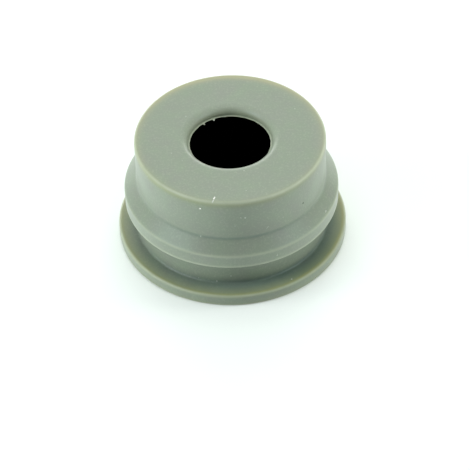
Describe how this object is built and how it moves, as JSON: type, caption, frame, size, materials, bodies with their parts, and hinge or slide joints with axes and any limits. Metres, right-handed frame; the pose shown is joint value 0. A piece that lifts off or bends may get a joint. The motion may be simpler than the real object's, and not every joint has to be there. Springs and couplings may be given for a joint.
{
  "type": "boiler gasket",
  "caption": "Round moulded silicone gasket with a flat flange, a groove for the boiler wall under a snap-in barb, and a straight nose with a rounded sealing lip over a wider bore.",
  "frame": {"origin": "centre of the flange's resting face", "axes": "+Z along the axis that the gasket is round about, from the flange towards the nose; X and Y are alike"},
  "size_m": [0.025, 0.025, 0.0132],
  "materials": {
    "silicone": "satin"
  },
  "bodies": {
    "root": {"gasket": "silicone"}
  },
  "joints": []
}
